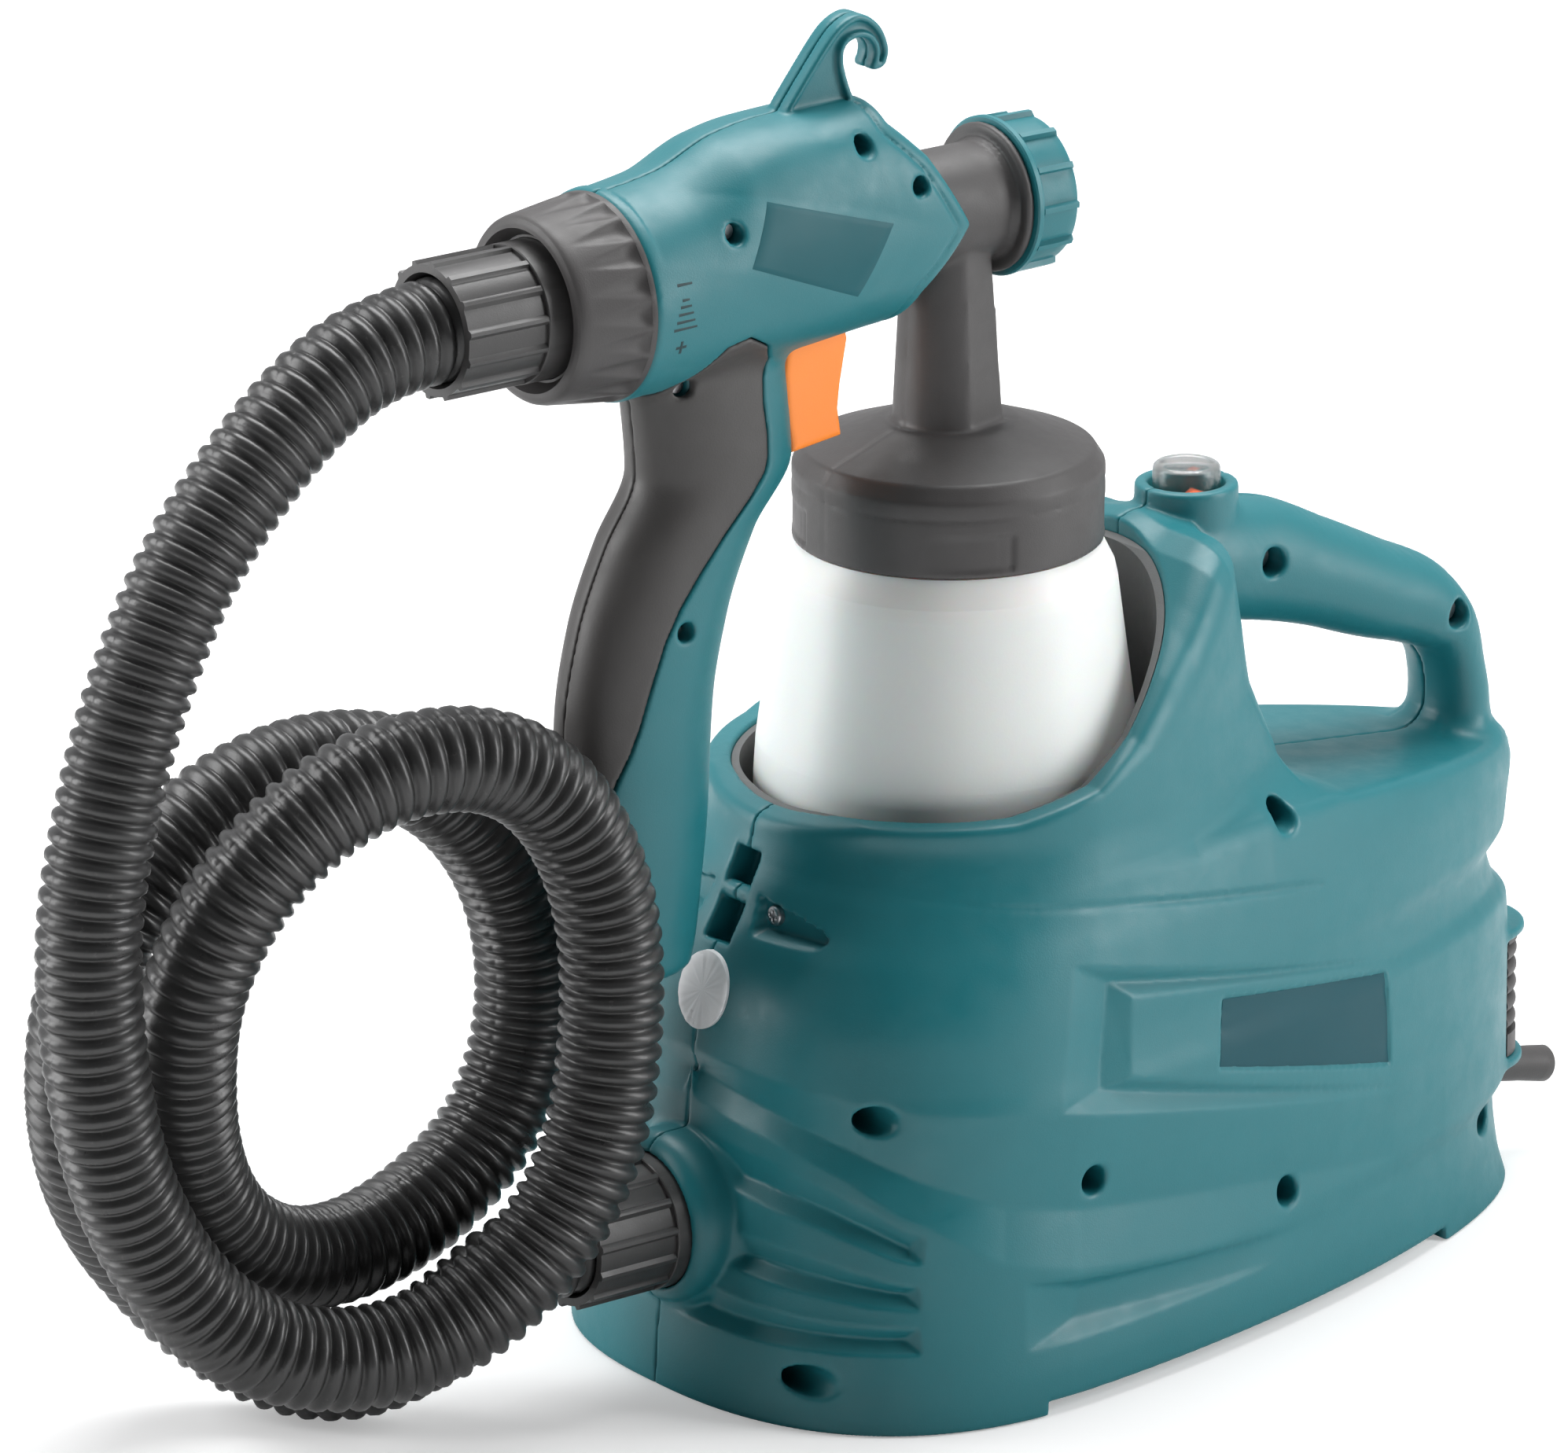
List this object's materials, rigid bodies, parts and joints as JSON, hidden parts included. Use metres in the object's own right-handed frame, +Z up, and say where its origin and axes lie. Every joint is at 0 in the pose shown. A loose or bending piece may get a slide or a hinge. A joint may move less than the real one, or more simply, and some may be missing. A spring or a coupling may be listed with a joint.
{
  "type": "turbine paint sprayer",
  "caption": "Paint sprayer with a floor-standing air turbine, a ribbed air hose and a spray gun whose paint cup stands in the base.",
  "frame": {"origin": "middle of the footprint of the base and the stowed gun, on the floor, leaving out the hose and its ends", "axes": "+Z up, +X from the hose's outlet towards the intake and the way the stowed gun sprays, Y = 0 the parting plane of base and gun"},
  "size_m": [0.5475, 0.1776, 0.3973],
  "materials": {
    "teal_shell": "satin, fine moulded grain",
    "charcoal_trim": "matt, fine moulded grain",
    "black_hose": "glossy, ribbed",
    "black_plastic": "satin",
    "orange_trigger": "satin",
    "orange_rocker": "gloss",
    "clear_boot": "clear, gloss",
    "cup_white": "satin, slightly translucent",
    "cap_white": "satin",
    "steel": "satin",
    "brass": "turned",
    "fan_metal": "satin",
    "motor_can": "satin",
    "filter_foam": "open foam",
    "grey_plastic": "satin",
    "clear_tube": "satin",
    "seal": "soft"
  },
  "bodies": {
    "base": {"housing_near": "teal_shell", "housing_far": "teal_shell", "well_liner": "charcoal_trim", "housing_screws": "steel", "switch_body": "black_plastic", "switch_cap": "clear_boot", "air_filter": "filter_foam", "fan_housing": "grey_plastic", "motor": "motor_can", "cord_sleeve": "charcoal_trim", "hose": "black_hose", "hose_end_base": "black_plastic"},
    "rocker": {"switch_rocker": "orange_rocker"},
    "cover": {"filter_cover": "charcoal_trim"},
    "fan": {"impeller": "fan_metal", "motor_shaft": "steel"},
    "gun": {"gun_shell_near": "teal_shell", "gun_shell_far": "teal_shell", "grip_near": "charcoal_trim", "grip_far": "charcoal_trim", "gun_screws": "steel", "air_tail": "black_plastic", "trigger_pin": "steel", "trigger_spring": "steel", "needle_gland": "brass", "spray_head": "charcoal_trim", "cup_gasket": "seal", "pickup_tube": "clear_tube", "fluid_nozzle": "brass", "hose_end_gun": "black_plastic"},
    "collar": {"airflow_collar": "charcoal_trim"},
    "trigger": {"trigger": "orange_trigger"},
    "needle": {"needle": "steel"},
    "cup": {"cup": "cup_white"},
    "nut": {"nozzle_nut": "teal_shell"},
    "cap": {"air_cap": "cap_white"}
  },
  "joints": [
    {"name": "gun_lift", "type": "slide", "parent": "base", "child": "gun", "axis": [0, 0, 1], "range_m": [0, 0.12], "deforming": ["hose"]},
    {"name": "trigger_pull", "type": "hinge", "parent": "gun", "child": "trigger", "pos_m": [-0.09474, 0, 0.3545], "axis": [0, 1, 0], "range_deg": [0, 10], "stiffness_Nm_per_rad": 1, "springref_deg": -5.73},
    {"name": "needle_slide", "type": "slide", "parent": "gun", "child": "needle", "axis": [-1, 0, 0], "range_m": [0, 0.0041], "deforming": ["trigger_spring"]},
    {"name": "collar_turn", "type": "hinge", "parent": "gun", "child": "collar", "pos_m": [-0.17874, 0, 0.3295], "axis": [1, 0, 0], "range_deg": [-30, 30]},
    {"name": "nozzle_nut_turn", "type": "hinge", "parent": "gun", "child": "nut", "pos_m": [-0.02074, 0, 0.3345], "axis": [1, 0, 0], "range_deg": [0, 90]},
    {"name": "air_cap_turn", "type": "hinge", "parent": "gun", "child": "cap", "pos_m": [-0.01674, 0, 0.3345], "axis": [1, 0, 0], "range_deg": [0, 90]},
    {"name": "cup_turn", "type": "hinge", "parent": "gun", "child": "cup", "pos_m": [-0.04074, 0, 0.18], "axis": [0, 0, 1], "range_deg": [0, 90]},
    {"name": "switch_rock", "type": "hinge", "parent": "base", "child": "rocker", "pos_m": [0.04726, 0, 0.226], "axis": [0, 1, 0], "range_deg": [-14, 0]},
    {"name": "filter_cover_pull", "type": "slide", "parent": "base", "child": "cover", "axis": [1, 0, 0], "range_m": [0, 0.03]},
    {"name": "impeller_spin", "type": "hinge", "parent": "base", "child": "fan", "pos_m": [0.01926, 0, 0.051], "axis": [1, 0, 0], "continuous": true}
  ],
  "couplings": [
    {"joint": "needle_slide", "follows": "trigger_pull", "m_per_rad": 0.0229}
  ]
}
